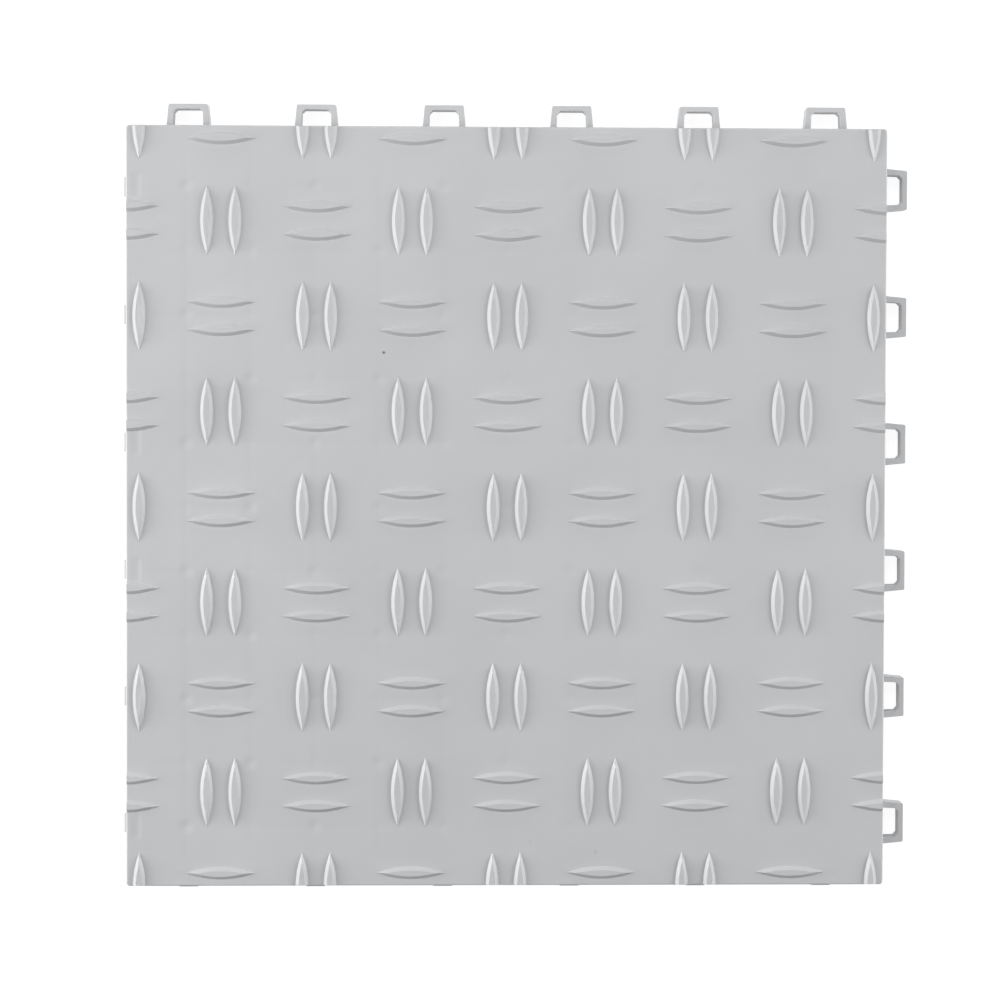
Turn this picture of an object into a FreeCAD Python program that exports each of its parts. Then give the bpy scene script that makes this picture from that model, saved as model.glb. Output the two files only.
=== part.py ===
import FreeCAD, Part
import math
import os

from FreeCAD import Vector

# An interlocking garage floor tile, moulded in one piece of polypropylene.
# It lies flat on the floor. The origin is on the floor under the centre of the plate, and +Z is up.
# Loops stand out of the +X and +Y edges. Snap pegs hang under the -X and -Y edges, in pockets
# between the ribs that take the loops of the next tile. All sizes are in millimetres.

# Overall sizes
tile_pitch = 304.8
joint_gap = 0.8
tile_height = 12.7
plate_thickness = 2.0
skirt_thickness = 2.0
corner_radius = 1.5
rim_chamfer = 0.4

# Tread pattern: pairs of pointed bars, turned by a quarter from one cell to the next
cells_across = 8
bar_length = 27.6
bar_width = 5.05
bar_height = 1.4
bar_flank = 1.3
bar_spacing = 11.2

# Locks: each edge has as many, the outermost ones this far from its ends
locks_per_side = 6
lock_inset = 24.0

# Loops on the +X and +Y edges
loop_reach = 9.1
loop_height = 6.0
loop_root_width = 17.3
loop_tip_width = 15.6
leg_root_width = 2.6
leg_tip_width = 2.0
loop_bar_width = 2.0
hole_corner_chamfer = 1.2
loop_corner_chamfer = 0.35

# Clearances round a loop that lies in the next tile's pocket
side_clearance = 0.75
top_clearance = 0.8
behind_clearance = 2.15
peg_clearance = 0.3
hook_clearance = 0.4

# Snap pegs under the -X and -Y edges
peg_width = 7.6
peg_floor_gap = 0.6
prong_thickness = 1.6
hook_reach = 1.9
hook_ledge_height = 4.5
hook_ledge_drop = 0.5
hook_tip_height = 0.6
back_thickness = 1.4
back_lead_in = 0.7

# Ribs and feet under the plate. The ribs cross on the locks' lines and halfway between them.
# A border rib runs along each edge, behind the pockets of the locks.
rib_thickness = 1.5
drain_height = 2.5
foot_width = 1.3

# Depth by which one form is sunk into the next before they are fused
bite = 0.5

# Sizes worked out from the ones above
plate_half = (tile_pitch - joint_gap) / 2
plate_top = tile_height - bar_height
plate_bottom = plate_top - plate_thickness
inside_half = plate_half - skirt_thickness
last_lock = plate_half - lock_inset
lock_pitch = 2 * last_lock / (locks_per_side - 1)
rib_levels = (drain_height, plate_bottom + bite)
border_line = plate_half - loop_reach + joint_gap - behind_clearance - rib_thickness / 2
mouth_width = loop_root_width + 2 * side_clearance
mouth_height = loop_height + top_clearance
hole_depth = loop_reach - loop_bar_width
hole_root_width = loop_root_width - 2 * leg_root_width
peg_back = hole_depth - joint_gap - peg_clearance
tread_cell = tile_pitch / cells_across


def prism(points, height):
    """Upright solid over an outline of (x, y, z) points."""
    corners = [Vector(*point) for point in points]
    outline = Part.makePolygon(corners + corners[:1])
    return Part.Face(outline).extrude(Vector(0, 0, height))


def block(x_range, y_range, z_range):
    """Box between two limits on each axis."""
    length = x_range[1] - x_range[0]
    width = y_range[1] - y_range[0]
    height = z_range[1] - z_range[0]
    return Part.makeBox(length, width, height, Vector(x_range[0], y_range[0], z_range[0]))


def turned(shape, angle):
    """Copy of a shape, turned about the Z axis."""
    copy = shape.copy()
    copy.rotate(Vector(0, 0, 0), Vector(0, 0, 1), angle)
    return copy


def upright_edges(solid, wanted):
    """Vertical edges of a solid whose (x, y) place the wanted test accepts."""
    found = []
    for edge in solid.Edges:
        start = edge.Vertexes[0].Point
        end = edge.Vertexes[-1].Point
        level = abs(start.x - end.x) + abs(start.y - end.y)
        if level < 1e-6 and wanted(start):
            found.append(edge)
    return found


def rounded_square(half_width, radius, bottom, top):
    """Square slab about the Z axis with rounded corners."""
    slab = block((-half_width, half_width), (-half_width, half_width), (bottom, top))
    return slab.makeFillet(radius, upright_edges(slab, lambda place: True))


def plate_and_skirt():
    """Top plate with its rim broken, and the skirt that goes down to the floor."""
    outside = rounded_square(plate_half, corner_radius, 0, plate_top)
    top_face = max(outside.Faces, key=lambda face: face.CenterOfMass.z)
    outside = outside.makeChamfer(rim_chamfer, top_face.Edges)
    inside = block((-inside_half, inside_half), (-inside_half, inside_half), (0, plate_bottom))
    return outside.cut(inside)


def rib_lines():
    """Places of the inner ribs, the same along X and Y. The first and every second one is a lock's line."""
    return [-last_lock + index * lock_pitch / 2 for index in range(2 * locks_per_side - 1)]


def rib(line, end):
    """One rib along X at y = line, from -end to end."""
    return block((-end, end), (line - rib_thickness / 2, line + rib_thickness / 2), rib_levels)


def straight_ribs():
    """Ribs along X and Y. Those on a lock's line end at the border ribs, the others run on to the skirt."""
    ends = [border_line, inside_half + bite] * locks_per_side
    ribs = [rib(line, end) for line, end in zip(rib_lines(), ends)]
    ribs += [rib(side * border_line, inside_half + bite) for side in (-1, 1)]
    return ribs + [turned(shape, 90) for shape in ribs]


def diagonal_ribs():
    """Ribs at 45 degrees through the feet, all one way, between the border ribs."""
    ribs = []
    for index in range(1 - locks_per_side, locks_per_side):
        shift = index * lock_pitch / 2
        half_length = (border_line - abs(shift)) * math.sqrt(2)
        ribs.append(turned(rib(0, half_length), 45).translated(Vector(-shift, shift, 0)))
    return ribs


def foot():
    """Tapered foot under a crossing of the ribs, over the origin. At its root it is as wide as they are."""
    low = foot_width / 2
    high = rib_thickness / 2
    taper = Part.makeWedge(-low, 0, -low, -high, -high, low, drain_height, low, high, high)
    taper.rotate(Vector(0, 0, 0), Vector(1, 0, 0), 90)
    return taper


def feet():
    """A foot at every other crossing of the inner ribs, where a diagonal rib crosses too."""
    pattern = foot()
    places = []
    for column, x in enumerate(rib_lines()):
        for row, y in enumerate(rib_lines()):
            if (column + row) % 2 == 0:
                places.append(Vector(x, y, 0))
    return [pattern.translated(place) for place in places]


def lock_places():
    """Places of the loops and pegs along an edge, from the edge's middle."""
    return [-last_lock + index * lock_pitch for index in range(locks_per_side)]


def along_edges(shape, turns):
    """Copies at every lock of the edges at these turns. The shape's +X points out of the edge."""
    copies = []
    for turn in turns:
        for place in lock_places():
            copies.append(turned(shape.translated(Vector(plate_half, place, 0)), turn))
    return copies


def pocket_mouth():
    """Opening in the skirt that lets a loop of the next tile in."""
    across = (-mouth_width / 2, mouth_width / 2)
    return block((-skirt_thickness, joint_gap), across, (0, mouth_height))


def hook_window():
    """Opening in the skirt between a loop's legs, under whose top edge a peg's hook snaps."""
    across = (-hole_root_width / 2, hole_root_width / 2)
    return block((-skirt_thickness, 0), across, (0, hook_ledge_height + hook_clearance))


def loop():
    """Tapered ring with its root sunk into the skirt and its reach along +X."""
    root = loop_root_width / 2
    tip = loop_tip_width / 2
    outer = prism([(-bite, -root, 0), (0, -root, 0), (loop_reach, -tip, 0),
                   (loop_reach, tip, 0), (0, root, 0), (-bite, root, 0)], loop_height)
    outer_corners = upright_edges(outer, lambda place: place.x > hole_depth)
    outer = outer.makeChamfer(loop_corner_chamfer, outer_corners)
    hole_root = hole_root_width / 2
    hole_tip = tip - leg_tip_width
    hole = prism([(-bite, -hole_root, 0), (0, -hole_root, 0), (hole_depth, -hole_tip, 0),
                  (hole_depth, hole_tip, 0), (0, hole_root, 0), (-bite, hole_root, 0)], loop_height)
    hole = hole.makeChamfer(hole_corner_chamfer, upright_edges(hole, lambda place: place.x > bite))
    return outer.cut(hole)


def side_profile(points, width):
    """Solid of this width along Y, centred, with its (x, z) outline upright."""
    corners = [Vector(x, -width / 2, z) for x, z in points]
    outline = Part.makePolygon(corners + corners[:1])
    return Part.Face(outline).extrude(Vector(0, width, 0))


def hook_prong():
    """Springy outer prong of a peg, with the hook that stands out past the plate's edge."""
    hang = mouth_height + bite
    tip_top = hook_ledge_height - hook_ledge_drop
    return side_profile([(-prong_thickness, hang), (-prong_thickness, peg_floor_gap), (0, peg_floor_gap),
                         (hook_reach, tip_top - hook_tip_height), (hook_reach, tip_top),
                         (0, hook_ledge_height), (0, hang)], peg_width)


def back_prong():
    """Straight inner prong of a peg, which stands close to the inner side of a loop's outer bar."""
    front = back_thickness - peg_back
    hang = plate_bottom + bite
    return side_profile([(-peg_back, hang), (-peg_back, peg_floor_gap + 2 * back_lead_in),
                         (back_lead_in - peg_back, peg_floor_gap), (front, peg_floor_gap),
                         (front, hang)], peg_width)


def tread_bar():
    """Pointed bar along Y with drafted flanks: the overlap of two cones, sunk into the plate."""
    arc_radius = (bar_length ** 2 + bar_width ** 2) / (4 * bar_width)
    arc_offset = arc_radius - bar_width / 2
    sunk_radius = arc_radius + bite * bar_flank / bar_height
    centre = Vector(arc_offset, 0, plate_top - bite)
    cone = Part.makeCone(sunk_radius, arc_radius - bar_flank, bar_height + bite, centre)
    return cone.common(turned(cone, 180))


def bar_places():
    """Middle of each bar with its turn about Z: 0 along Y, 90 along X."""
    places = []
    for column in range(cells_across + 1):
        for row in range(cells_across + 1):
            x = column * tread_cell - tile_pitch / 2
            y = row * tread_cell - tile_pitch / 2
            for shift in (-bar_spacing / 2, bar_spacing / 2):
                if (column + row) % 2 == 0:
                    places.append((x + shift, y, 0))
                else:
                    places.append((x, y + shift, 90))
    return places


def tread_bars():
    """All bars of the pattern, cut off at the plate's rim."""
    rim_half = plate_half - rim_chamfer
    inside = rounded_square(rim_half, corner_radius - rim_chamfer, plate_top - bite, tile_height)
    pattern = tread_bar()
    bars = []
    for x, y, turn in bar_places():
        bar = turned(pattern, turn).translated(Vector(x, y, 0))
        if max(abs(x), abs(y)) + bar_length / 2 > rim_half:
            bar = bar.common(inside)
        bars += bar.Solids
    return bars


def floor_tile():
    """The whole moulding as one solid."""
    tile = plate_and_skirt().fuse(straight_ribs() + diagonal_ribs() + feet())
    tile = tile.cut(along_edges(pocket_mouth(), (180, 270)) + along_edges(hook_window(), (0, 90)))
    pegs = along_edges(hook_prong(), (180, 270)) + along_edges(back_prong(), (180, 270))
    tile = tile.fuse(along_edges(loop(), (0, 90)) + pegs)
    return tile.fuse(tread_bars()).removeSplitter()


os.makedirs("parts", exist_ok=True)
tile = floor_tile()
solid = tile.Solids[0] if len(tile.Solids) == 1 else tile
solid.exportStep("parts/floor_tile.step")
print("solids", len(tile.Solids), "faces", len(tile.Faces), "volume", round(tile.Volume), "mm3")
print("lock pitch", round(lock_pitch, 2), "tread cell", round(tread_cell, 2), "peg back", round(peg_back, 2))
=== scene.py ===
# %% [markdown]
# # A garage floor tile, dressed for its portrait
#
# The tile is one moulding of light grey polypropylene. A measured solid of it exists already, with its
# plate, loops, pegs and ribs at their real sizes. This lesson takes a copy of that solid and adds what a
# camera sees from close by: edges that are slightly round, tread bars with soft shoulders, the finer ribs
# underneath, and a plastic surface that isn't perfectly even.

# %% Load the measured solid
import math

import bmesh
import bpy
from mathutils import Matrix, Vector


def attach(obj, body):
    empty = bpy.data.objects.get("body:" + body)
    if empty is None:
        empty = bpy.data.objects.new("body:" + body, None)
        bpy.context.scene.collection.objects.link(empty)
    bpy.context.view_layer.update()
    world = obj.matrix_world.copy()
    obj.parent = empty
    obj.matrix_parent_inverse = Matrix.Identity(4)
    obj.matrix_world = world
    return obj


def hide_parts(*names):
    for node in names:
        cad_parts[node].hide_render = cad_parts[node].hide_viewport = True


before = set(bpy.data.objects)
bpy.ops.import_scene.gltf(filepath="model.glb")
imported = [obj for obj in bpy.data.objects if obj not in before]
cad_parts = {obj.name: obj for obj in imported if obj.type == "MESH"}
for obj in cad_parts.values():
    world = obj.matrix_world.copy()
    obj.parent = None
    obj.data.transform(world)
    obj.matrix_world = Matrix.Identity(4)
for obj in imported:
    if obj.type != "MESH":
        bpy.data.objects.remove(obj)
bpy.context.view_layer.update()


# %% [markdown]
# ## Sizes
#
# The scene works in metres, as Blender does. The moulding's sizes are written in millimetres times `mm`.
# Those below are shared by several steps, and the others are named where they are first needed. The locks
# are the loops and pegs. The ribs underneath follow them: the main ribs lie half a lock's pitch apart, and
# a border rib runs along each edge.

# %% Sizes that several steps share
mm = 0.001

plate_half = 152.0 * mm
plate_top = 11.3 * mm
lock_pitch = 51.2 * mm
rib_pitch = lock_pitch / 2
border_line = 140.8 * mm

print("main ribs lie", round(rib_pitch / mm, 1), "mm apart, border ribs", round(border_line / mm, 1),
      "mm from the middle")

# %% [markdown]
# ## A few small helpers for meshes
#
# Some steps below put a modifier on an object and want its result as a plain mesh, with the modifier gone.
# `plain_mesh` does that: it asks Blender for the evaluated object and copies what it finds. `tell` prints
# how a step went. A closed skin has no open edges, which are edges that don't have exactly two faces.

# %% Helpers for objects
def add_object(name, mesh):
    """Object at the origin with this mesh, in the scene."""
    made = bpy.data.objects.new(name, mesh)
    bpy.context.scene.collection.objects.link(made)
    return made


def plain_mesh(obj):
    """Gives the object a mesh with all its modifiers worked in, and removes them."""
    depsgraph = bpy.context.evaluated_depsgraph_get()
    made = bpy.data.meshes.new_from_object(obj.evaluated_get(depsgraph))
    obj.modifiers.clear()
    obj.data = made


def combine(obj, tool, operation):
    """Joins obj with the closed mesh of tool, or keeps what they share. The tool is then deleted."""
    modifier = obj.modifiers.new(operation.title(), "BOOLEAN")
    modifier.operation = operation
    modifier.object = tool
    modifier.solver = "MANIFOLD"
    plain_mesh(obj)
    bpy.data.objects.remove(tool)


def tell(what, obj):
    """Prints how many faces and open edges the object has."""
    work = bmesh.new()
    work.from_mesh(obj.data)
    open_edges = sum(1 for edge in work.edges if len(edge.link_faces) != 2)
    print(what + ":", len(work.faces), "faces,", open_edges, "open edges")
    work.free()

# %% [markdown]
# ## The moulding without its tread
#
# The solid's own mesh is left alone, because it is what the physics uses. A copy of it is merged into one
# closed skin. Then everything above the plate comes off, and the square hole that stays is filled with one
# flat face. The tread bars come back later with finer shapes.

# %% Copy the solid and take its tread off
# Distance below which two points count as one, and angle below which two faces count as level
same_point = 0.002 * mm
level_angle = math.radians(0.5)


def moulding_without_tread(source):
    """Closed copy of the solid whose plate is flat on top."""
    work = bmesh.new()
    work.from_mesh(source.data)
    bmesh.ops.remove_doubles(work, verts=work.verts, dist=same_point)
    level = plate_top - 0.01 * mm
    tread = [face for face in work.faces if min(vert.co.z for vert in face.verts) > level]
    bmesh.ops.delete(work, geom=tread, context="FACES")
    rim = [edge for edge in work.edges if len(edge.link_faces) == 1]
    bmesh.ops.holes_fill(work, edges=rim, sides=0)
    bmesh.ops.dissolve_limit(work, angle_limit=level_angle, verts=work.verts, edges=work.edges)
    bmesh.ops.recalc_face_normals(work, faces=work.faces)
    mesh = bpy.data.meshes.new("tile")
    work.to_mesh(mesh)
    work.free()
    return mesh


tile = add_object("tile", moulding_without_tread(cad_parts["floor_tile"]))
tell("plain moulding", tile)

# %% [markdown]
# ## Round the edges
#
# No moulded edge is razor sharp. A Bevel modifier rounds every edge that turns by more than 35 degrees, by
# a sixth of a millimetre. Flat areas are joined first, so that the bevel meets long clean edges.

# %% Bevel the moulding
edge_round = 0.16 * mm
bevel_angle = math.radians(35)


def join_flats(mesh):
    """Joins faces that lie in one plane."""
    work = bmesh.new()
    work.from_mesh(mesh)
    bmesh.ops.remove_doubles(work, verts=work.verts, dist=same_point)
    bmesh.ops.dissolve_limit(work, angle_limit=level_angle, verts=work.verts, edges=work.edges)
    work.to_mesh(mesh)
    work.free()


def round_edges(obj):
    """Rounds every edge of the object that turns by more than the bevel's angle."""
    bevel = obj.modifiers.new("Round edges", "BEVEL")
    bevel.width = edge_round
    bevel.segments = 2
    bevel.limit_method = "ANGLE"
    bevel.angle_limit = bevel_angle
    bevel.use_clamp_overlap = False
    plain_mesh(obj)


join_flats(tile.data)
round_edges(tile)
tell("rounded moulding", tile)

# %% [markdown]
# ## A short way to write node trees
#
# Geometry Nodes make everything on this tile that repeats, and shader nodes make its finish. Both kinds of
# tree are written with the same few helpers. `feed` sets or links a socket, `step` adds a node of any kind,
# and `calculator` gives a function that adds Math nodes, so that one line of code is one step of the sum.

# %% Helpers for node trees
def feed(tree, socket, value):
    """Links a socket to another socket, or sets its value."""
    if isinstance(value, bpy.types.NodeSocket):
        tree.links.new(value, socket)
    else:
        socket.default_value = value


def step(tree, kind, settings=None, **inputs):
    """Adds a node. Inputs are named as on the node, with underscores for spaces."""
    node = tree.nodes.new(kind)
    for name, value in (settings or {}).items():
        setattr(node, name, value)
    for name, value in inputs.items():
        feed(tree, node.inputs[name.replace("_", " ")], value)
    return node


def calculator(tree):
    """Function that adds a Math node to this tree and returns its result."""
    def calc(operation, *values):
        node = tree.nodes.new("ShaderNodeMath")
        node.operation = operation
        for socket, value in zip(node.inputs, values):
            feed(tree, socket, value)
        return node.outputs[0]
    return calc


def vector(tree, **parts):
    """Vector of X, Y and Z. A part that isn't given is 0."""
    return step(tree, "ShaderNodeCombineXYZ", None, **parts).outputs[0]


def parts_of(tree, whole):
    """The X, Y and Z of a vector, by name."""
    return step(tree, "ShaderNodeSeparateXYZ", None, Vector=whole).outputs


def diagonal(tree, first, second):
    """Length of the diagonal over two distances."""
    calc = calculator(tree)
    return calc("SQRT", calc("ADD", calc("POWER", first, 2.0), calc("POWER", second, 2.0)))

# %% [markdown]
# A geometry tree gets one named input for each size, and `grow` hands it the values. A modifier knows its
# inputs by identifiers, not by names, so `grow` looks them up. It also turns the result into a plain mesh.

# %% Helpers for geometry trees
number = "NodeSocketFloat"
whole_number = "NodeSocketInt"
finish = "NodeSocketMaterial"


def geometry_tree(name, sizes):
    """Geometry tree with one named input for each size, with its inputs and its result's socket."""
    tree = bpy.data.node_groups.new(name, "GeometryNodeTree")
    for label, kind in sizes.items():
        tree.interface.new_socket(name=label, in_out="INPUT", socket_type=kind)
    tree.interface.new_socket(name="Geometry", in_out="OUTPUT", socket_type="NodeSocketGeometry")
    given = tree.nodes.new("NodeGroupInput")
    result = tree.nodes.new("NodeGroupOutput")
    return tree, given.outputs, result.inputs[0]


def realized(tree, instances):
    """Plain geometry in place of instances."""
    return step(tree, "GeometryNodeRealizeInstances", None, Geometry=instances).outputs[0]


def grow(name, tree, values):
    """Object whose mesh the tree makes with these values for its named inputs."""
    made = add_object(name, bpy.data.meshes.new(name))
    modifier = made.modifiers.new(tree.name, "NODES")
    modifier.node_group = tree
    for item in tree.interface.items_tree:
        if item.in_out == "INPUT":
            modifier[item.identifier] = values[item.name]
    plain_mesh(made)
    return made

# %% [markdown]
# ## The plastic
#
# The tile is polypropylene with a satin face: light grey, a little cool, with a faint cloudiness from the
# moulding. Where a rib meets the plate's underside the plastic shrinks as it cools, and that leaves a
# shallow sink mark on top. On the real tile the ribs show as faint lines, the feet as dimples and the snap
# pegs as short grooves beside the edge. They are far too shallow to be worth a mesh, so here they are a
# bump. The colour is also painted a touch darker in them. That is painted shade: where a rib or a peg
# stands underneath, the plate is thicker and lets less light through.

# %% Lines and soft borders for a pattern
def ramp(tree, value, start, end, low, high, kind="LINEAR"):
    """Goes from low to high while the value goes from start to end."""
    node = step(tree, "ShaderNodeMapRange", {"interpolation_type": kind}, Value=value,
                From_Min=start, From_Max=end, To_Min=low, To_Max=high)
    return node.outputs[0]


def fade(tree, away, reach):
    """1 where away is 0, falling smoothly to 0 where it is reach."""
    return ramp(tree, away, 0.0, reach, 1.0, 0.0, "SMOOTHSTEP")


def to_line(tree, place, pitch):
    """Distance from the nearest of many lines that lie this pitch apart."""
    return calculator(tree)("PINGPONG", place, pitch / 2)

# %% [markdown]
# Each kind of mark is a distance, from a line or from a point, and a depth that fades with it. The main
# ribs and the slanting ones leave wide soft lines, the finer ribs leave thinner ones, and there is a dimple
# over each crossing, the deepest over the feet. They end a little past the border ribs. In the photo they
# are plainer towards the left of the tile, so here they get deeper that way.

# %% Sink marks of the ribs and feet
marks_end = border_line + 1.5 * mm

# From one X to the other, the marks go from the first strength to the second
strong_x = -130 * mm
weak_x = 60 * mm
strong = 1.5
weak = 0.7


def rib_marks(tree, x, y):
    """Depth of the lines over the ribs and of the dimples over the feet, in metres."""
    calc = calculator(tree)
    along = calc("MULTIPLY", calc("ADD", x, y), math.sqrt(0.5))
    across = calc("MULTIPLY", calc("SUBTRACT", x, y), math.sqrt(0.5))
    slant_pitch = lock_pitch * math.sqrt(0.5)
    to_x_rib = to_line(tree, x, rib_pitch)
    to_y_rib = to_line(tree, y, rib_pitch)
    to_fine_rib = to_line(tree, calc("ADD", x, rib_pitch / 2), rib_pitch)
    to_slant_rib = to_line(tree, across, slant_pitch)
    to_crossing = diagonal(tree, to_x_rib, to_y_rib)
    to_foot = diagonal(tree, to_line(tree, along, slant_pitch), to_slant_rib)
    depth = 0.0
    for away, reach, deep in ((to_x_rib, 2.4 * mm, 0.022 * mm),
                              (to_fine_rib, 1.8 * mm, 0.008 * mm),
                              (to_y_rib, 2.4 * mm, 0.018 * mm),
                              (to_slant_rib, 2.0 * mm, 0.014 * mm),
                              (to_crossing, 3.5 * mm, 0.05 * mm),
                              (to_foot, 4.0 * mm, 0.085 * mm)):
        depth = calc("MULTIPLY_ADD", fade(tree, away, reach), deep, depth)
    far = calc("MAXIMUM", calc("ABSOLUTE", x), calc("ABSOLUTE", y))
    inside = calc("LESS_THAN", far, marks_end)
    deeper_left = ramp(tree, x, strong_x, weak_x, strong, weak)
    return calc("MULTIPLY", calc("MULTIPLY", depth, inside), deeper_left)

# %% [markdown]
# A peg's groove isn't even. Going inwards it falls gently to its deepest line, 4.6 mm inside the edge, and
# rises again in a shorter way. Along the edge it is flat over the peg and fades beyond it.

# %% Sink marks of the pegs
groove_line = 4.6 * mm
groove_outwards = 3.5 * mm
groove_inwards = 2.1 * mm
groove_half_length = 3.4 * mm
groove_end = 2.6 * mm
left_groove_depth = 0.16 * mm
bottom_groove_depth = 0.05 * mm
lowest_marked = plate_top - 0.2 * mm


def peg_marks(tree, from_edge, beside, deep):
    """Depth of the grooves over one edge's pegs, in metres."""
    calc = calculator(tree)
    to_peg = to_line(tree, calc("ADD", beside, lock_pitch / 2), lock_pitch)
    past_peg = calc("MAXIMUM", calc("SUBTRACT", to_peg, groove_half_length), 0.0)
    to_deepest = calc("SUBTRACT", from_edge, groove_line)
    outwards = calc("MULTIPLY", to_deepest, -1 / groove_outwards)
    inwards = calc("MULTIPLY", to_deepest, 1 / groove_inwards)
    shape = fade(tree, calc("MAXIMUM", outwards, inwards), 1.0)
    groove = calc("MULTIPLY", shape, fade(tree, past_peg, groove_end))
    return calc("MULTIPLY", groove, deep)


def sink_marks(tree, place):
    """How deep the plate has sunk at each place, in metres, on its top alone."""
    calc = calculator(tree)
    left = peg_marks(tree, calc("ADD", place["X"], plate_half), place["Y"], left_groove_depth)
    bottom = peg_marks(tree, calc("ADD", place["Y"], plate_half), place["X"], bottom_groove_depth)
    marks = calc("ADD", rib_marks(tree, place["X"], place["Y"]), calc("ADD", left, bottom))
    on_top = calc("GREATER_THAN", place["Z"], lowest_marked)
    return calc("MULTIPLY", marks, on_top)

# %% [markdown]
# The colour varies by a few hundredths in clouds some centimetres wide. The gloss varies more than the
# colour, in the same clouds and in a fine grain, because the mould's steel is never equally smooth all
# over. This tile also has a small dark pit near its middle and two faint smudges near its lower edge.

# %% Colour of the plastic
grey = (0.530, 0.538, 0.550, 1)
paler_grey = (0.562, 0.568, 0.579, 1)
# Near black: the colour of the pit and the smudges, and of the painted shade in the sink marks
dirt_and_shade = (0.05, 0.05, 0.05, 1)

# Painted shade in the sink marks: a mark of this depth gets the darkest of it, this share of the near black
# colour
painted_shade_depth = 0.03 * mm
painted_shade_share = 0.008

# X, Y, radius and strength of the pit and the smudges
specks = [(-49.4 * mm, 61.8 * mm, 0.9 * mm, 0.95),
          (36.0 * mm, -138.7 * mm, 1.3 * mm, 0.14),
          (9.6 * mm, -134.6 * mm, 1.1 * mm, 0.10)]


def noise(tree, place, size, detail):
    """Cloud pattern with features about this size, in metres. Its values lie mostly near 0.5."""
    node = step(tree, "ShaderNodeTexNoise", {"noise_dimensions": "3D"}, Vector=place, Scale=1 / size,
                Detail=detail, Roughness=0.55)
    return node.outputs["Fac"]


def spread(tree, pattern, low, high):
    """Brings the middle half of a cloud pattern's range to the range from low to high."""
    return ramp(tree, pattern, 0.25, 0.75, low, high)


def mix_colours(tree, share, first, second):
    """The first colour where share is 0, the second where it is 1."""
    mix = step(tree, "ShaderNodeMix", {"data_type": "RGBA"})
    feed(tree, mix.inputs["Factor"], share)
    feed(tree, mix.inputs[6], first)
    feed(tree, mix.inputs[7], second)
    return mix.outputs[2]


def plastic_colour(tree, place, clouds, marks):
    """Cloudy grey with painted shade in the sink marks, and with the pit and the smudges."""
    calc = calculator(tree)
    sunk = calc("MINIMUM", calc("DIVIDE", marks, painted_shade_depth), 1.0)
    colour = mix_colours(tree, spread(tree, clouds, 0.0, 1.0), grey, paler_grey)
    # Painted shade: darker where the plate has sunk over a rib or a peg, for the thicker plate there lets
    # less light through
    colour = mix_colours(tree, calc("MULTIPLY", sunk, painted_shade_share), colour, dirt_and_shade)
    for spot_x, spot_y, size, strength in specks:
        away = diagonal(tree, calc("SUBTRACT", place["X"], spot_x), calc("SUBTRACT", place["Y"], spot_y))
        colour = mix_colours(tree, calc("MULTIPLY", fade(tree, away, size), strength), colour, dirt_and_shade)
    return colour

# %% [markdown]
# The material brings these together on a Principled shader. All patterns read Object coordinates, so they
# stay on the tile wherever it is seen from. The bump's heights are real ones, in metres, and its Distance
# of 1 leaves them so.

# %% The material of the tile
cloud_size = 45 * mm
grain_size = 0.5 * mm
grain_height = 0.004 * mm
roughness_low = 0.40
roughness_high = 0.48
grain_roughness = 0.03
polypropylene_ior = 1.49


def grey_polypropylene():
    """Satin light grey plastic with clouds, a fine grain and the marks of the ribs."""
    material = bpy.data.materials.new("grey_polypropylene")
    material.use_nodes = True
    tree = material.node_tree
    calc = calculator(tree)
    shader = tree.nodes["Principled BSDF"]
    where = step(tree, "ShaderNodeTexCoord").outputs["Object"]
    place = parts_of(tree, where)
    clouds = noise(tree, where, cloud_size, 3.0)
    grain = noise(tree, where, grain_size, 2.0)
    marks = sink_marks(tree, place)
    gloss = calc("ADD", spread(tree, clouds, roughness_low, roughness_high),
                 spread(tree, grain, -grain_roughness, grain_roughness))
    height = calc("SUBTRACT", calc("MULTIPLY", grain, grain_height), marks)
    bump = step(tree, "ShaderNodeBump", None, Height=height, Strength=1.0, Distance=1.0)
    feed(tree, shader.inputs["Base Color"], plastic_colour(tree, place, clouds, marks))
    feed(tree, shader.inputs["Roughness"], gloss)
    feed(tree, shader.inputs["Normal"], bump.outputs["Normal"])
    shader.inputs["IOR"].default_value = polypropylene_ior
    return material


plastic = grey_polypropylene()
print("material:", plastic.name, "with", len(plastic.node_tree.nodes), "nodes")

# %% [markdown]
# ## The finer ribs underneath
#
# Halfway between the main ribs lie finer ones, which show on top as faint lines. A line of points, one box
# on each, and a copy turned by a quarter give the grid. The ribs stop higher above the floor than the main
# ones. They cross the slanting ribs at narrow angles, where a bevel would fold over itself, so the boxes
# are rounded first and joined to the rounded moulding afterwards.

# %% Grow the fine ribs
plate_thickness = 2.0 * mm
fine_rib_count = 10
fine_rib_thickness = 1.2 * mm
fine_rib_bottom = 4.0 * mm


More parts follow.
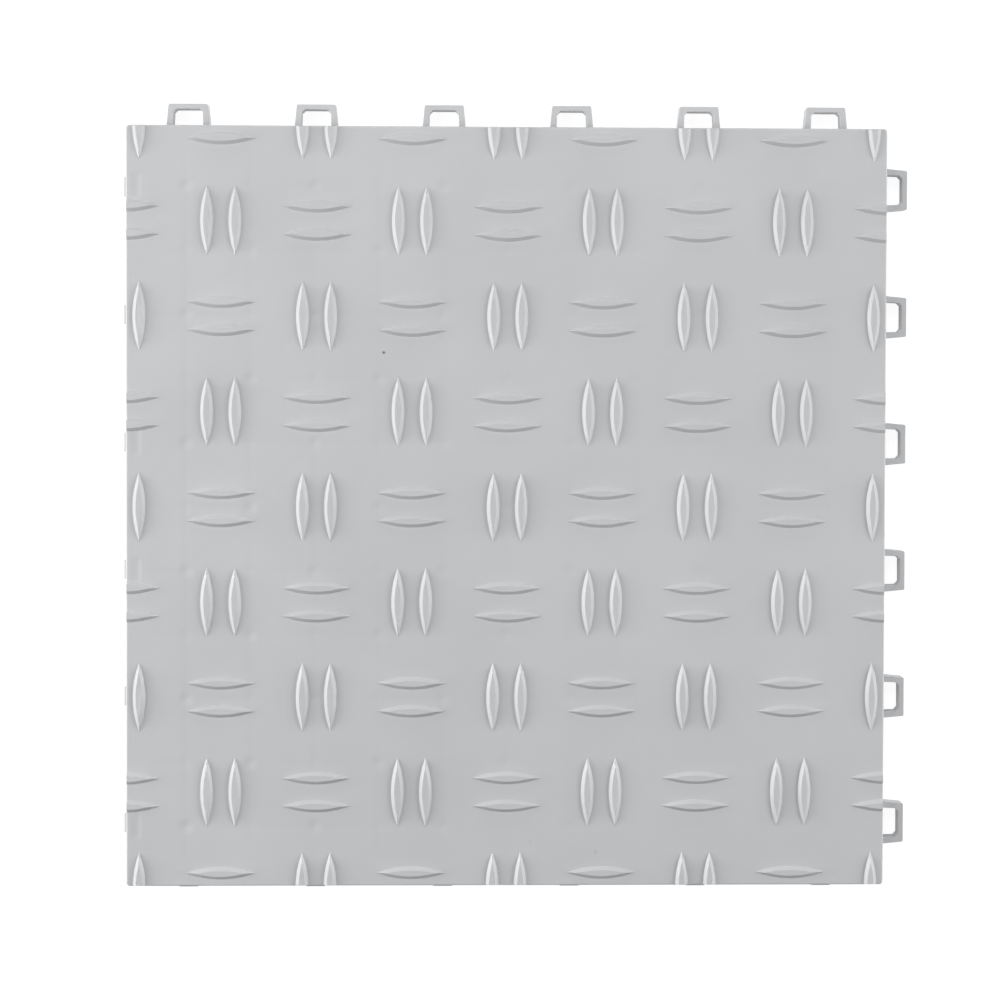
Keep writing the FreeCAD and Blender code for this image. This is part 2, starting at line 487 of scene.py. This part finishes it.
def fine_rib_tree():
    """Tree that lays parallel ribs along Y side by side."""
    tree, size, result = geometry_tree("Fine ribs", {
        "Pitch": number, "Count": whole_number, "Length": number, "Thickness": number, "Bottom": number,
        "Top": number, "Material": finish})
    calc = calculator(tree)
    tall = calc("SUBTRACT", size["Top"], size["Bottom"])
    middle = calc("MULTIPLY", calc("ADD", size["Top"], size["Bottom"]), 0.5)
    first = calc("MULTIPLY", calc("SUBTRACT", size["Count"], 1.0), -0.5)
    start = vector(tree, X=calc("MULTIPLY", first, size["Pitch"]), Z=middle)
    line = step(tree, "GeometryNodeMeshLine", None, Count=size["Count"], Start_Location=start,
                Offset=vector(tree, X=size["Pitch"]))
    box = step(tree, "GeometryNodeMeshCube", None,
               Size=vector(tree, X=size["Thickness"], Y=size["Length"], Z=tall))
    row = step(tree, "GeometryNodeInstanceOnPoints", None, Points=line.outputs[0],
               Instance=box.outputs["Mesh"])
    painted = step(tree, "GeometryNodeSetMaterial", None, Geometry=realized(tree, row.outputs[0]),
                   Material=size["Material"])
    feed(tree, result, painted.outputs[0])
    return tree


def turn_by_a_quarter(mesh):
    """Turns a mesh by 90 degrees about Z."""
    for vert in mesh.vertices:
        vert.co = Vector((-vert.co.y, vert.co.x, vert.co.z))


rib_tree = fine_rib_tree()
rib_values = {
    "Pitch": rib_pitch, "Count": fine_rib_count, "Length": 2 * border_line, "Thickness": fine_rib_thickness,
    "Bottom": fine_rib_bottom, "Top": plate_top - plate_thickness / 2, "Material": plastic}
for crossing in (False, True):
    fine_ribs = grow("fine_ribs", rib_tree, rib_values)
    if crossing:
        turn_by_a_quarter(fine_ribs.data)
    round_edges(fine_ribs)
    combine(tile, fine_ribs, "UNION")
    tell("moulding with fine ribs", tile)

# %% [markdown]
# ## The tread bars
#
# Each bar is a lens seen from above: two arcs that meet in points. Its flanks rise at about 45 degrees to a
# narrow flat top. It could be cut from two cones, but then its edges would be sharp. Here a grid of points
# is bent to the lens instead. Each row of the grid follows a line of equal depth, which is the distance
# inside the nearest arc. A curve gives the rows their depths, so that they lie close where the bar is
# round.

# %% Bend a grid to the bar's outline
# Depths of the rows from the outline to the middle, as shares of the deepest. The other half mirrors them.
row_shares = [0.0, 0.0, 0.031, 0.07, 0.49, 0.53, 0.57, 0.77, 1.0]
points_along = 15


def row_depth(tree, rank):
    """Depth of a row as a share of the deepest, from its rank, which is 0 at the outline and 1 midway."""
    levels = step(tree, "ShaderNodeFloatCurve", None, Value=rank)
    curve = levels.mapping.curves[0]
    last = len(row_shares) - 1
    curve.points[0].location = (0.0, row_shares[0])
    curve.points[1].location = (1.0, row_shares[last])
    for index in range(1, last):
        curve.points.new(index / last, row_shares[index])
    for point in curve.points:
        point.handle_type = "VECTOR"
    levels.mapping.update()
    return levels.outputs[0]


def lens_arcs(tree, size):
    """Half the width of the lens, the radius of its arcs, and how far their centres lie from its middle."""
    calc = calculator(tree)
    half_width = calc("MULTIPLY", size["Width"], 0.5)
    half_length = calc("MULTIPLY", size["Length"], 0.5)
    squares = calc("ADD", calc("POWER", half_width, 2.0), calc("POWER", half_length, 2.0))
    arc_radius = calc("DIVIDE", squares, size["Width"])
    return half_width, arc_radius, calc("SUBTRACT", arc_radius, half_width)


def place_in_lens(tree, size, arcs, across, along):
    """X without its sign, and Y, of a point of the grid. The outermost row lies one root outside the lens."""
    calc = calculator(tree)
    half_width, arc_radius, arc_offset = arcs
    rank = calc("SUBTRACT", 1.0, calc("ABSOLUTE", across))
    depth = calc("MULTIPLY_ADD", row_depth(tree, rank), calc("ADD", half_width, size["Root"]),
                 calc("MULTIPLY", size["Root"], -1.0))
    outer = calc("POWER", calc("ADD", arc_radius, size["Root"]), 2.0)
    reach = calc("SQRT", calc("SUBTRACT", outer, calc("POWER", arc_offset, 2.0)))
    y = calc("MULTIPLY", along, reach)
    inner = calc("POWER", calc("SUBTRACT", arc_radius, depth), 2.0)
    half_chord = calc("SQRT", calc("SUBTRACT", inner, calc("POWER", y, 2.0)))
    return calc("MAXIMUM", calc("SUBTRACT", half_chord, arc_offset), 0.0), y

# %% [markdown]
# One sum gives the height everywhere: the flank's slope times the depth, as far as the flat top. That
# shapes the flanks, the top and the falling ridges at the ends. Two smooth limits round the shoulder and
# the root, and the top is a few hundredths of a millimetre hollow, as moulded tops are.

# %% Height of the bar
# Level that the root's smooth limit rounds towards, in roots below the plate
root_level = 0.2


def height_in_lens(tree, size, arcs, x, y):
    """Height above the plate at a place of the lens."""
    calc = calculator(tree)
    half_width, arc_radius, arc_offset = arcs
    depth = calc("SUBTRACT", arc_radius, diagonal(tree, calc("ADD", x, arc_offset), y))
    slope = calc("MULTIPLY", depth, calc("DIVIDE", size["Height"], size["Flank"]))
    past_flank = calc("MAXIMUM", calc("SUBTRACT", depth, size["Flank"]), 0.0)
    share = calc("DIVIDE", past_flank, calc("SUBTRACT", half_width, size["Flank"]))
    hollow = calc("SUBTRACT", calc("MULTIPLY", share, 2.0), calc("POWER", share, 2.0))
    top = calc("SUBTRACT", size["Height"], calc("MULTIPLY", hollow, size["Dish"]))
    shoulder = calc("SMOOTH_MIN", slope, top, size["Shoulder"])
    return calc("SMOOTH_MAX", shoulder, calc("MULTIPLY", size["Root"], -root_level), size["Root"])


def bar_surface(tree, size):
    """The bar's upper side. Its outermost row of points is sunk into the plate by one root."""
    calc = calculator(tree)
    grid = step(tree, "GeometryNodeMeshGrid", None, Size_X=2.0, Size_Y=2.0,
                Vertices_X=2 * len(row_shares) - 1, Vertices_Y=points_along)
    here = parts_of(tree, step(tree, "GeometryNodeInputPosition").outputs[0])
    across = here["X"]
    arcs = lens_arcs(tree, size)
    x, y = place_in_lens(tree, size, arcs, across, here["Y"])
    at_edge = calc("GREATER_THAN", calc("ABSOLUTE", across), 0.999)
    rise = height_in_lens(tree, size, arcs, x, y)
    z = calc("SUBTRACT", rise, calc("MULTIPLY", at_edge, size["Root"]))
    point = vector(tree, X=calc("MULTIPLY", x, calc("SIGN", across)), Y=y, Z=z)
    bent = step(tree, "GeometryNodeSetPosition", None, Geometry=grid.outputs["Mesh"], Position=point)
    return bent.outputs[0]

# %% [markdown]
# The surface gets a flat underside that lies inside the plate, so that each bar is a closed body.

# %% Close the bar and make a pair of it
# How deep the flat underside lies, in roots, and how close two points of the seam have to be to become one
underside_level = 1.2
seam_distance = 0.004 * mm


def closed_bar(tree, size):
    """The bar's upper side, joined along its outline to a flat copy that lies a little lower."""
    calc = calculator(tree)
    upper = bar_surface(tree, size)
    here = parts_of(tree, step(tree, "GeometryNodeInputPosition").outputs[0])
    flat = vector(tree, X=here["X"], Y=here["Y"], Z=calc("MULTIPLY", size["Root"], -underside_level))
    lower = step(tree, "GeometryNodeSetPosition", None, Geometry=upper, Position=flat)
    lower = step(tree, "GeometryNodeFlipFaces", None, Mesh=lower.outputs[0])
    both = step(tree, "GeometryNodeJoinGeometry")
    tree.links.new(upper, both.inputs[0])
    tree.links.new(lower.outputs[0], both.inputs[0])
    bar = step(tree, "GeometryNodeMergeByDistance", None, Geometry=both.outputs[0],
               Distance=seam_distance)
    return bar.outputs[0]


def pair_of_bars(tree, size):
    """Two bars side by side, along Y."""
    first = vector(tree, X=calculator(tree)("MULTIPLY", size["Spacing"], -0.5))
    places = step(tree, "GeometryNodeMeshLine", None, Count=2, Start_Location=first,
                  Offset=vector(tree, X=size["Spacing"]))
    pair = step(tree, "GeometryNodeInstanceOnPoints", None, Points=places.outputs[0],
                Instance=closed_bar(tree, size))
    return pair.outputs[0]

# %% [markdown]
# Pairs of bars then go on a chessboard of 38.1 mm cells, so that the pattern closes after 304.8 mm, which
# is the distance from one tile to the next. Where column and row add up to an even number a pair lies along
# Y, elsewhere it is turned by a quarter.

# %% Lay the pairs on a chessboard
tread_cell = 38.1 * mm
cells_across = 8
bar_length = 27.6 * mm
bar_width = 5.05 * mm
bar_height = 1.4 * mm
bar_flank = 1.3 * mm
bar_spacing = 11.2 * mm
bar_shoulder = 0.1 * mm
bar_root = 0.08 * mm
bar_dish = 0.03 * mm


def tread_tree():
    """Tree that shapes a bar, pairs it and lays the pairs on the plate."""
    tree, size, result = geometry_tree("Tread bars", {
        "Cell": number, "Cells": whole_number, "Length": number, "Width": number, "Height": number,
        "Flank": number, "Spacing": number, "Shoulder": number, "Root": number, "Dish": number,
        "Level": number, "Material": finish})
    calc = calculator(tree)
    pair = pair_of_bars(tree, size)
    side = calc("MULTIPLY", size["Cell"], size["Cells"])
    count = calc("ADD", size["Cells"], 1.0)
    board = step(tree, "GeometryNodeMeshGrid", None, Size_X=side, Size_Y=side, Vertices_X=count,
                 Vertices_Y=count)
    index = step(tree, "GeometryNodeInputIndex").outputs[0]
    column = calc("FLOOR", calc("DIVIDE", calc("ADD", index, 0.5), count))
    row = calc("SUBTRACT", index, calc("MULTIPLY", column, count))
    odd = calc("MODULO", calc("ADD", column, row), 2.0)
    turn = vector(tree, Z=calc("MULTIPLY", odd, math.pi / 2))
    pairs = step(tree, "GeometryNodeInstanceOnPoints", None, Points=board.outputs["Mesh"], Instance=pair,
                 Rotation=turn)
    lifted = step(tree, "GeometryNodeSetPosition", None, Geometry=realized(tree, pairs.outputs[0]),
                  Offset=vector(tree, Z=size["Level"]))
    painted = step(tree, "GeometryNodeSetMaterial", None, Geometry=lifted.outputs[0],
                   Material=size["Material"])
    feed(tree, result, painted.outputs[0])
    return tree


bars = grow("bars", tread_tree(), {
    "Cell": tread_cell, "Cells": cells_across, "Length": bar_length, "Width": bar_width,
    "Height": bar_height, "Flank": bar_flank, "Spacing": bar_spacing, "Shoulder": bar_shoulder,
    "Root": bar_root, "Dish": bar_dish, "Level": plate_top, "Material": plastic})
tell("tread bars", bars)

# %% [markdown]
# The pattern runs on over the plate's edge, as it does on the real mould, and stops at the rim. A slab with
# the rim's outline overlaps the bars and keeps only what lies inside it. What is left is joined to the
# moulding, so the tile is one closed skin again.

# %% Stop the bars at the rim
corner_radius = 1.5 * mm
rim_chamfer = 0.4 * mm
slab_bottom = plate_top - 1 * mm
slab_top = plate_top + 3 * mm


def rim_outline():
    """Places of the outline of the plate's flat top, with its four round corners."""
    rim_radius = corner_radius - rim_chamfer
    centre = plate_half - rim_chamfer - rim_radius
    steps_per_corner = 6
    outline = []
    for side_x, side_y, start in ((1, 1, 0), (-1, 1, 90), (-1, -1, 180), (1, -1, 270)):
        for part in range(steps_per_corner + 1):
            angle = math.radians(start + 90 / steps_per_corner * part)
            outline.append((centre * side_x + rim_radius * math.cos(angle),
                            centre * side_y + rim_radius * math.sin(angle)))
    return outline


def rim_slab(outline):
    """Upright slab over this outline, from inside the plate to above the bars."""
    work = bmesh.new()
    low = [work.verts.new((x, y, slab_bottom)) for x, y in outline]
    high = [work.verts.new((x, y, slab_top)) for x, y in outline]
    work.faces.new(low[::-1])
    work.faces.new(high)
    for index in range(len(outline)):
        after = (index + 1) % len(outline)
        work.faces.new((low[index], low[after], high[after], high[index]))
    mesh = bpy.data.meshes.new("rim_slab")
    work.to_mesh(mesh)
    work.free()
    return add_object("rim_slab", mesh)


combine(bars, rim_slab(rim_outline()), "INTERSECT")
tell("bars inside the rim", bars)
combine(tile, bars, "UNION")
tell("whole tile", tile)

# %% [markdown]
# ## Smooth where it is round, flat where it is flat
#
# Smooth shading blends the light over neighbouring faces. On the round shoulders that is right. Beside a
# large flat face it would smear a false gradient over the plate, so every edge of a large face is marked
# sharp.

# %% Mark the sharp edges
sharp_turn = math.radians(40)
flat_turn = math.radians(0.3)
large_area = 2.5 * mm * mm


def shade(mesh):
    """Smooth shading that stops at edges that turn sharply and at the borders of large faces."""
    work = bmesh.new()
    work.from_mesh(mesh)
    for face in work.faces:
        face.smooth = True
    for edge in work.edges:
        angle = edge.calc_face_angle(math.pi)
        biggest = max((face.calc_area() for face in edge.link_faces), default=0)
        edge.smooth = angle < sharp_turn and (biggest < large_area or angle < flat_turn)
    work.to_mesh(mesh)
    work.free()


shade(tile.data)
tile.data.materials.clear()
tile.data.materials.append(plastic)
for polygon in tile.data.polygons:
    polygon.material_index = 0
tile.data.calc_loop_triangles()
print("triangles:", len(tile.data.loop_triangles))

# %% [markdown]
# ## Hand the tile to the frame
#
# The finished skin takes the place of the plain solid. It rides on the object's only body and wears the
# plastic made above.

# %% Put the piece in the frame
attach(tile, "root")
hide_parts("floor_tile")
print("the tile rides on root in place of floor_tile")

# %% [markdown]
# ## Floor
#
# The photo shows the tile on pure white. The white must not light the tile, so the floor glows only where
# the camera looks at it, or where the plastic mirrors it. A strength of 1 is plain white. The glow stays a
# little below that, and a faint grey adds what light falls there, so that some of the tile's shadow still
# shows. For all other light the floor is plain pale grey.

# %% Make the floor
floor_size = 6.0
floor_level = -0.05 * mm
floor_lightness = 0.8
floor_glow = 0.94
shadow_lightness = 0.15


def mix_shaders(tree, share, first, second):
    """The first shader where share is 0, the second where it is 1."""
    mix = step(tree, "ShaderNodeMixShader")
    feed(tree, mix.inputs[0], share)
    feed(tree, mix.inputs[1], first)
    feed(tree, mix.inputs[2], second)
    return mix.outputs[0]


def diffuse(tree, lightness):
    """Matt grey of this lightness."""
    return step(tree, "ShaderNodeBsdfDiffuse", None, Color=(lightness, lightness, lightness, 1)).outputs[0]


def white_floor():
    """Pale floor that shows as white and keeps a faint shadow."""
    bpy.ops.mesh.primitive_plane_add(size=floor_size, location=(0, 0, floor_level))
    floor = bpy.context.object
    floor.name = "floor"
    material = bpy.data.materials.new("floor_white")
    material.use_nodes = True
    tree = material.node_tree
    tree.nodes.clear()
    ray = step(tree, "ShaderNodeLightPath").outputs
    seen = calculator(tree)("MAXIMUM", ray["Is Camera Ray"], ray["Is Glossy Ray"])
    glow = step(tree, "ShaderNodeEmission", None, Color=(1, 1, 1, 1), Strength=floor_glow)
    white = step(tree, "ShaderNodeAddShader")
    tree.links.new(diffuse(tree, shadow_lightness), white.inputs[0])
    tree.links.new(glow.outputs[0], white.inputs[1])
    out = step(tree, "ShaderNodeOutputMaterial")
    plain = diffuse(tree, floor_lightness)
    feed(tree, out.inputs["Surface"], mix_shaders(tree, seen, plain, white.outputs[0]))
    floor.data.materials.append(material)
    return floor


white_floor()
print("floor:", floor_size, "m wide")

# %% [markdown]
# ## Lamps
#
# The bars tell where the light comes from. Their left flanks are the brightest, the right ones less so, and
# the flanks towards the bottom of the picture the darkest. So the strongest lamps stand low on the left,
# weaker ones low on the right, and the weakest at the top. Together they are only as strong as keeps the
# tile's left side below white.

# %% Hang the lamps
lamp_width = 0.9
lamp_height = 0.4
lamp_distance = 1.6


def lamp(name, azimuth, elevation, watts):
    """Area lamp that faces the tile's middle from this direction, in degrees."""
    data = bpy.data.lights.new(name, "AREA")
    data.shape = "RECTANGLE"
    data.size = lamp_width
    data.size_y = lamp_height
    data.energy = watts
    made = bpy.data.objects.new(name, data)
    bpy.context.scene.collection.objects.link(made)
    turn = math.radians(azimuth)
    rise = math.radians(elevation)
    towards = Vector((math.cos(turn) * math.cos(rise), math.sin(turn) * math.cos(rise), math.sin(rise)))
    made.location = towards * lamp_distance
    made.rotation_euler = towards.to_track_quat("Z", "Y").to_euler()
    return made


lamps = [lamp("left_low", 180, 12, 15.4),
         lamp("left_middle", 180, 28, 8.9),
         lamp("left_high", 180, 50, 5.3),
         lamp("top_low", 90, 12, 4.0),
         lamp("top_high", 90, 50, 7.7),
         lamp("right_low", 0, 12, 8.4),
         lamp("right_middle", 0, 28, 12.6)]
print("lamps:", len(lamps), "with", round(sum(one.data.energy for one in lamps), 1), "W in all")

# %% [markdown]
# ## World
#
# The world is what the camera sees past the floor's edge, and a light from all sides. The photo's
# background is white, so the camera sees white there. As a light the world adds next to nothing, or it
# would fill the shadows that show the shape of the bars.

# %% Paint the world
world_light = 0.03
plain_white = 1.0


def white_world():
    """World that gives a faint light and looks white to the camera."""
    world = bpy.data.worlds.new("studio")
    world.use_nodes = True
    sky = world.node_tree
    sky.nodes.clear()
    soft = step(sky, "ShaderNodeBackground", None, Color=(1, 1, 1, 1), Strength=world_light)
    white = step(sky, "ShaderNodeBackground", None, Color=(1, 1, 1, 1), Strength=plain_white)
    eye = step(sky, "ShaderNodeLightPath").outputs["Is Camera Ray"]
    out = step(sky, "ShaderNodeOutputWorld")
    feed(sky, out.inputs["Surface"], mix_shaders(sky, eye, soft.outputs[0], white.outputs[0]))
    return world


bpy.context.scene.world = white_world()
print("world:", bpy.context.scene.world.name)

# %% [markdown]
# ## Camera
#
# The camera hangs 855 mm above the floor, a little up and to the left of the tile's middle, and looks
# almost straight down. Its place, its turn and its focal length were fitted to the four corners of the
# plate in the photo.

# %% Place the camera
camera_place = (-12.0 * mm, 48.0 * mm, 855 * mm)
camera_degrees = (-1.1678, -1.2971, 0.1755)

camera_data = bpy.data.cameras.new("camera")
camera_data.sensor_width = 36.0
camera_data.lens = 75.95
camera_data.shift_x = -0.0252
camera_data.shift_y = -0.0696
camera = bpy.data.objects.new("camera", camera_data)
bpy.context.scene.collection.objects.link(camera)
camera.location = camera_place
camera.rotation_euler = [math.radians(angle) for angle in camera_degrees]
bpy.context.scene.camera = camera
bpy.context.scene.view_settings.view_transform = "Standard"
print("camera:", camera_data.lens, "mm lens,", round(camera.location.z / mm), "mm above the floor")
